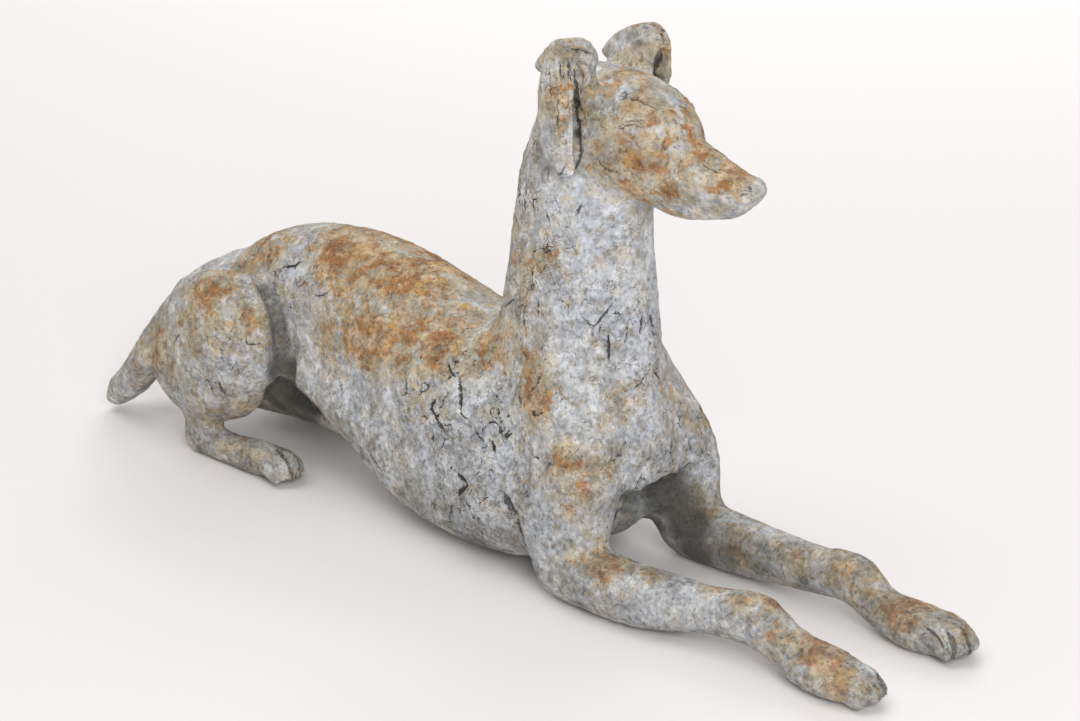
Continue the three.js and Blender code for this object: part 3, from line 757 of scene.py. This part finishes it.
KEPT = {"worn": WORN, "scaling": SCALING, "sound": SOUND, "painted_shade": PAINTED_SHADE_PLACES}
for name, places in KEPT.items():
    values = spread(points, places)
    if name == "painted_shade":
        values = np.maximum(values, spread(points, FAR_SIDE_PAINTED_SHADE_PLACES, sides=(1,)))
    keep_on(skin, name, values)
    print(name, "covers", round(float((values > 0.4).mean()) * 100), "% of the skin")


# %% [markdown]
# ## Breaking the paint
#
# Cells of noise make the scales. Only some of the seams between them have opened, so that the
# cracks start and stop, and an open crack is widest where the paint scales most. Beside it the
# coat curls up. Each scale lies a little higher or lower than the next one.

# %% Cracks, for a geometry tree or a material
SCALE_SIZE = 22.0        # mm across a scale of paint
CHIP_SIZE = 7.0          # mm between the hair cracks inside a scale
FLAKE_SIZE = 10.0        # mm across a flake of rust
ATTRIBUTES = ("worn", "scaling", "sound", "painted_shade", "line_side", "line_width")


def open_cracks(bench, place, upright, kept):
    """Opened seams between scales, and the drawn lines; both curl up beside the gap."""
    gap = bench.gap(upright, SCALE_SIZE)
    ragged = bench.grain(place, 4, 2) - 0.5
    opened = bench.grain(place, 15, 2).rise(0.50, 0.62) * kept["scaling"]
    seam = (opened * 1.15 + ragged * opened * 1.8 - gap).rise(0.0, 0.5)
    off_line = bench.maths("ABSOLUTE", kept["line_side"] + ragged * 4.0, 0.0)
    line = (kept["line_width"] * (1.3 + ragged * 1.8) - off_line).rise(-0.1, 0.5)
    lip = (1.0 - kept["line_side"].rise(0.5, 4.0)) * kept["line_side"].rise(0.0, 0.8)
    curl = ((1.0 - gap.rise(0.6, 6.0)) * opened).most(lip * kept["line_width"].least(1.0))
    return {"crack": seam.most(line), "curl": curl, "plate": bench.cell(upright, SCALE_SIZE)}


def fine_cracks(bench, place, frayed, upright, kept):
    """Hair cracks in short dashes, and wandering crinkles in patches."""
    chip_gap = bench.gap(frayed, CHIP_SIZE)
    dashes = bench.grain(place, 5, 2).rise(0.48, 0.58) * bench.grain(place, 30, 2).rise(0.42, 0.6)
    hair = (dashes * (0.3 + kept["scaling"] * 0.7) * 0.7 - chip_gap).rise(0.0, 0.35)
    patches = bench.grain(place, 18, 2).rise(0.50, 0.62) * (0.3 + kept["scaling"] * 0.7)
    crinkle = bench.crease(frayed, 8, 0.03).most(bench.crease(upright, 15, 0.02)) * patches
    return {"hair": hair, "crinkle": crinkle}


# %% Losses, and the whole pattern
BARE_FROM, BARE_TO = 0.578, 0.662        # loss at which the coat gives way, and is all gone


def losses(bench, place, frayed, kept):
    """Bare iron: broad noise frayed by finer noise, more of it where the paint is worn."""
    broad = bench.grain(bench.strayed(place, 40, 24), 30, 5, 0.66)
    fine = bench.grain(bench.strayed(place, 9, 5), 9, 5, 0.70)
    tiny = bench.grain(place, 3.4, 4, 0.7)
    flake = bench.cell(frayed, FLAKE_SIZE)
    loss = (broad * 0.46 + fine * 0.34 + tiny * 0.10 + flake * 0.10
            + kept["worn"] * 0.20 - kept["sound"] * 0.07)
    return {"bare": loss.rise(BARE_FROM, BARE_TO), "loss": loss,
            "fine": fine, "tiny": tiny, "flake": flake}


def broken_paint(bench, place, kept):
    """All the wires of the pattern at a place. Seams run more up and down than along."""
    frayed = bench.strayed(bench.strayed(place, 28, 16), 5, 3.6)
    upright = bench.vector("MULTIPLY", frayed, (1.0, 1.0, 0.55))
    return {**open_cracks(bench, place, upright, kept),
            **fine_cracks(bench, place, frayed, upright, kept),
            **losses(bench, place, frayed, kept)}


# %% [markdown]
# ## The relief
#
# Geometry Nodes push the net along its normals: lost paint lies lower than what is left, and
# cracks cut down to the iron. The sizes are inputs of the tree, so they can be tried by hand.
# Everything goes inwards from the solid's own surface, never out of it.

# %% Geometry tree for the coat
RELIEF_TOP = 3.4         # mm of relief that would stand level with the solid's surface
COAT = {"Coat thickness": 0.9, "Crack depth": 2.2, "Crinkle depth": 0.5, "Curl height": 1.2,
        "Plate step": 1.0, "Brush marks": 1.8, "Rust blisters": 2.2}


def coat_tree(material):
    tree = bpy.data.node_groups.new("coat_relief", "GeometryNodeTree")
    face = tree.interface
    face.new_socket("Geometry", in_out="INPUT", socket_type="NodeSocketGeometry")
    for name in COAT:
        face.new_socket(name, in_out="INPUT", socket_type="NodeSocketFloat")
    face.new_socket("Geometry", in_out="OUTPUT", socket_type="NodeSocketGeometry")
    bench = Bench(tree)
    start = bench.node("NodeGroupInput")
    size = {name: bench.wire(start, name) for name in COAT}
    place = bench.wire(bench.node("GeometryNodeInputPosition"), 0)
    normal = bench.wire(bench.node("GeometryNodeInputNormal"), 0)
    kept = {name: bench.wire(bench.node(
        "GeometryNodeInputNamedAttribute", {"data_type": "FLOAT"}, {"Name": name}), 0)
        for name in ATTRIBUTES}
    pattern = broken_paint(bench, place, kept)
    whole = 1.0 - pattern["bare"]
    height = (
        whole * (size["Coat thickness"]
                 + pattern["plate"] * size["Plate step"] * kept["scaling"])
        + pattern["curl"] * size["Curl height"]
        - pattern["crack"] * size["Crack depth"]
        - pattern["crinkle"] * size["Crinkle depth"]
        + bench.grain(place, 12, 3) * size["Brush marks"]
        + pattern["bare"] * (pattern["fine"] * 0.7 + pattern["flake"] * 0.3)
        * size["Rust blisters"])
    sunk = (height - RELIEF_TOP).least(0.0) * MM
    moved = bench.node("GeometryNodeSetPosition", None,
                       {"Geometry": bench.wire(start, "Geometry"),
                        "Offset": bench.scaled(normal, sunk)})
    joined = bench.node("GeometryNodeRealizeInstances", None,
                        {"Geometry": bench.wire(moved, 0)})
    painted = bench.node("GeometryNodeSetMaterial", None,
                         {"Geometry": bench.wire(joined, 0), "Material": material})
    bench.node("NodeGroupOutput", None, {"Geometry": bench.wire(painted, 0)})
    return tree


# %% [markdown]
# ## The finish
#
# Seen from near by nothing here is one colour. The paint wanders between grey and a cold blue,
# with pale grains, partly paint rubbed thin and partly painted highlights, and brownish stains a
# few millimetres wide; the iron between dark rust, tan and ochre. So every colour is mixed from
# two others by noise, the small grains last.
# Over both comes the weather, and painted shade: uneven tone, painted shade towards the ground,
# specks, pits, painted shade in the hollows, under the body and between the legs, and the dark of
# the cracks, with painted shade in the drawn grooves of the face, ears and toes.

# %% Colours
PAINT_BLUE = (0.535, 0.565, 0.620, 1.0)
PAINT_GREY = (0.530, 0.525, 0.505, 1.0)
# Pale paint, partly rubbed thin and partly painted highlights on grains.
PALE_PAINT_AND_HIGHLIGHT = (0.780, 0.775, 0.765, 1.0)
STAIN = (0.500, 0.420, 0.290, 1.0)
STAIN_DARK = (0.300, 0.250, 0.170, 1.0)
RUST_DARK = (0.170, 0.105, 0.062, 1.0)
RUST = (0.370, 0.178, 0.072, 1.0)
RUST_TAN = (0.560, 0.430, 0.280, 1.0)
OCHRE = (0.530, 0.325, 0.125, 1.0)
DEEP = (0.045, 0.038, 0.033, 1.0)
# Colour of the painted shade in the hollows and under the body.
PAINTED_SHADE_COLOUR = (0.085, 0.080, 0.070, 1.0)
# Grey of the painted shade towards the ground.
SHADE_NEAR_GROUND = (0.250, 0.240, 0.215, 1.0)

# %% Paint and rust
def paint_colour(bench, place, kept, loss):
    """Grey or cold blue, pale where it is rubbed thin and with painted highlights on grains, and
    stained brown in places.
    """
    tone = bench.grain(bench.strayed(place, 20, 8), 22, 5, 0.65)
    streak = bench.grain(bench.vector("MULTIPLY", place, (1.0, 1.0, 0.22)), 7, 3, 0.6)
    cool = (tone + streak * 0.5 + kept["sound"] * 0.22).rise(0.66, 0.94)
    paint = bench.blend(cool, PAINT_GREY, PAINT_BLUE)
    # Pale grains: partly paint rubbed thin, partly painted highlights.
    rubbed_and_highlight = bench.grain(place, 6, 5, 0.75).rise(0.47, 0.64)
    paint = bench.blend(rubbed_and_highlight * (0.6 - kept["sound"] * 0.25), paint, PALE_PAINT_AND_HIGHLIGHT)
    damp = bench.grain(bench.strayed(place, 16, 8), 14, 3, 0.55)
    stain = (loss * 0.7 + damp * 0.5 + streak * 0.1 + kept["worn"] * 0.10).rise(0.63, 0.80)
    paint = bench.blend(stain * 0.85, paint, STAIN)
    spots = (bench.grain(place, 11, 3, 0.6) + kept["scaling"] * 0.03).rise(0.56, 0.70)
    return bench.blend(spots * 0.55, paint, STAIN_DARK)


def rust_colour(bench, place, kept):
    """Red-brown, more tan where little is lost, with ochre, dark and stained patches."""
    mottle = bench.grain(bench.strayed(place, 14, 8), 13, 3, 0.6)
    little_lost = 1.0 - kept["worn"]
    rust = bench.blend((mottle + little_lost * 0.16).rise(0.44, 0.68), RUST, RUST_TAN)
    rust = bench.blend(bench.grain(place, 17, 3, 0.6).rise(0.52, 0.66) * 0.8, rust, OCHRE)
    rust = bench.blend(bench.grain(place, 8, 4, 0.7).rise(0.52, 0.66) * 0.7, rust, RUST_DARK)
    stain = bench.grain(bench.strayed(place, 12, 6), 10, 3, 0.6).rise(0.56, 0.66)
    return bench.blend(stain * 0.65, rust, STAIN)


# %% Weather and painted shade
def weathered_and_shaded(bench, place, kept, pattern, pits, colour):
    grit = bench.grain(place, 4.4, 3, 0.6).rise(0.34, 0.66)
    lumps = bench.grain(bench.strayed(place, 9, 4), 9, 3, 0.6).rise(0.36, 0.64)
    blotch = bench.grain(bench.strayed(place, 30, 12), 24, 3, 0.55).rise(0.38, 0.62)
    above = bench.wire(bench.node("ShaderNodeSeparateXYZ", None, {"Vector": place}), "Z")
    # Painted shade towards the ground: the lowest parts are made darker and greyer.
    low = 1.0 - (above + (pattern["fine"] - 0.5) * 0.06).rise(0.02, 0.19)
    uneven = grit * 0.28 + lumps * 0.30 + blotch * 0.28 - 0.43
    colour = bench.scaled(colour, 0.95 + uneven * (1.0 + low * 0.45) - low * 0.12)
    colour = bench.blend(low * 0.26, colour, SHADE_NEAR_GROUND)
    specks = bench.grain(bench.strayed(place, 6, 2.5), 5.5, 2, 0.5).rise(0.58, 0.66)
    colour = bench.blend(specks * (0.35 + low * 0.20 + kept["worn"] * 0.25), colour, STAIN_DARK)
    colour = bench.blend(pattern["hair"] * 0.4, colour, DEEP)
    colour = bench.blend(pits * 0.35, colour, DEEP)
    # Painted shade: the places listed above are darkened, mottled by noise.
    painted_shade_amount = (kept["painted_shade"] + (pattern["fine"] - 0.5) * 0.6).rise(0.15, 0.75)
    colour = bench.blend(painted_shade_amount * 0.88, colour, PAINTED_SHADE_COLOUR)
    colour = bench.blend(pattern["crinkle"] * 0.35, colour, STAIN_DARK)
    # Cracks and drawn lines are darkened: the paint cracks show dark iron, and in the drawn
    # grooves of the eyes, face, ears and toes the darkness is painted shade.
    crack_and_groove_shade = pattern["crack"] * (0.55 + kept["scaling"] * 0.5).least(0.92)
    return bench.blend(crack_and_groove_shade, colour, DEEP)


# %% Old paint over rusty iron
def old_paint():
    material = bpy.data.materials.new("old_paint_on_iron")
    material.use_nodes = True
    bench = Bench(material.node_tree)
    place = bench.wire(bench.node("ShaderNodeTexCoord"), "Object")
    kept = {name: bench.wire(bench.node("ShaderNodeAttribute", {"attribute_name": name}), "Fac")
            for name in ATTRIBUTES}
    pattern = broken_paint(bench, place, kept)
    pits = bench.grain(place, 3.2, 2, 0.6).rise(0.62, 0.70)
    paint = paint_colour(bench, place, kept, pattern["loss"])
    colour = bench.blend(pattern["bare"], paint, rust_colour(bench, place, kept))
    colour = weathered_and_shaded(bench, place, kept, pattern, pits, colour)
    height = (pattern["plate"] * 0.3 * kept["scaling"] + pattern["curl"] * 0.5
              + (1.0 - pattern["bare"]) * 0.6 + pattern["fine"] * 1.0 + pattern["tiny"] * 0.9
              - pattern["crack"] * 1.2 - pattern["crinkle"] * 0.8 - pattern["hair"] * 0.6
              - pits * 0.6)
    bump = bench.node("ShaderNodeBump", None,
                      {"Strength": 0.85, "Distance": 1.3 * MM, "Height": height})
    shader = bench.node("ShaderNodeBsdfPrincipled", None, {
        "Base Color": colour, "Roughness": 0.80 + pattern["bare"] * 0.12,
        "Normal": bench.wire(bump, 0), "Specular IOR Level": 0.3})
    bench.node("ShaderNodeOutputMaterial", None, {"Surface": bench.wire(shader, 0)})
    return material


# %% [markdown]
# ## The finished piece
#
# The tree runs once, and its result is kept as a plain mesh. The net is then thinned: where
# the skin is even, two facets say as much as six.

# %% Run the tree and keep the mesh
FACETS = 194000          # triangles left after thinning


def finished_piece(skin):
    dog = bpy.data.objects.new("painted_dog", skin)
    bpy.context.scene.collection.objects.link(dog)
    relief = dog.modifiers.new("coat", "NODES")
    relief.node_group = coat_tree(old_paint())
    for item in relief.node_group.interface.items_tree:
        if item.name in COAT:
            relief[item.identifier] = COAT[item.name]
    thin = dog.modifiers.new("thin", "DECIMATE")
    thin.ratio = min(FACETS / (2 * len(skin.polygons)), 1.0)
    evaluated = dog.evaluated_get(bpy.context.evaluated_depsgraph_get())
    finished = bpy.data.meshes.new_from_object(evaluated)
    dog.modifiers.clear()
    dog.data = finished
    for polygon in finished.polygons:
        polygon.use_smooth = True
    return dog


dog = finished_piece(skin)
triangles = sum(len(p.vertices) - 2 for p in dog.data.polygons)
print("skin:", len(dog.data.vertices), "points,", triangles, "triangles")
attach(dog, "root")
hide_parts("dog")

# %% [markdown]
# ## Studio
#
# The floor is plain, pale and wide enough to run out of sight. Nothing of the room is built;
# its light is a broad overcast sky window, a softer one in front of the nose, and the glow of
# a far wall on the floor behind the dog. Wide lamps keep the shadows as soft as they should be.

# %% Floor
FLOOR_REACH = 12.0       # metres from the middle to an edge
floor_mesh = bpy.data.meshes.new("floor")
floor_mesh.from_pydata(
    [(-FLOOR_REACH, -FLOOR_REACH, 0), (FLOOR_REACH, -FLOOR_REACH, 0),
     (FLOOR_REACH, FLOOR_REACH, 0), (-FLOOR_REACH, FLOOR_REACH, 0)], [], [(0, 1, 2, 3)])
floor = bpy.data.objects.new("floor", floor_mesh)
bpy.context.scene.collection.objects.link(floor)
floor_paint = bpy.data.materials.new("floor_paint")
floor_paint.use_nodes = True
floor_shader = floor_paint.node_tree.nodes["Principled BSDF"]
floor_shader.inputs["Base Color"].default_value = (0.86, 0.83, 0.825, 1.0)
floor_shader.inputs["Roughness"].default_value = 0.8
floor_shader.inputs["Specular IOR Level"].default_value = 0.1
floor_mesh.materials.append(floor_paint)

# %% Lights
world = bpy.data.worlds.new("studio")
bpy.context.scene.world = world
world.use_nodes = True
world.node_tree.nodes["Background"].inputs["Color"].default_value = (1.0, 0.995, 0.99, 1.0)
world.node_tree.nodes["Background"].inputs["Strength"].default_value = 0.37


def lamp(kind, name, place, aim, strength, size):
    data = bpy.data.lights.new(name, kind)
    data.energy = strength
    if kind == "SUN":
        data.angle = math.radians(size)
    else:
        data.size = size
    made = bpy.data.objects.new(name, data)
    made.location = place
    made.rotation_euler = (Vector(aim) - Vector(place)).to_track_quat("-Z", "Y").to_euler()
    bpy.context.scene.collection.objects.link(made)


lamp("SUN", "sky_window", (-1.0, -0.6, 3.0), (0, 0, 0), 1.00, 50)
lamp("AREA", "front_window", (2.6, -1.9, 2.0), (0, 0, 0.25), 68, 1.6)
lamp("AREA", "far_wall", (-1.9, 2.9, 2.6), (-0.9, 1.9, 0.0), 62, 2.8)

# %% [markdown]
# ## Camera
#
# It looks down on the dog from beyond its right forepaw, through a long lens, so that the head
# and the haunch are drawn nearly to one scale.

# %% Camera
camera_data = bpy.data.cameras.new("camera")
camera_data.sensor_width = 36.0
camera_data.lens = 86.35
camera = bpy.data.objects.new("camera", camera_data)
bpy.context.scene.collection.objects.link(camera)
azimuth, elevation = math.radians(42.65), math.radians(21.52)
back = Vector((math.sin(azimuth) * math.cos(elevation),
               -math.cos(azimuth) * math.cos(elevation), math.sin(elevation)))
camera.location = to_scene((1722.87, -1481.90, 956.88))
camera.rotation_mode = "QUATERNION"
camera.rotation_quaternion = (-back).to_track_quat("-Z", "Y")
bpy.context.scene.camera = camera
bpy.context.scene.view_settings.view_transform = "Standard"
print("camera, m:", [round(v, 2) for v in camera.location])
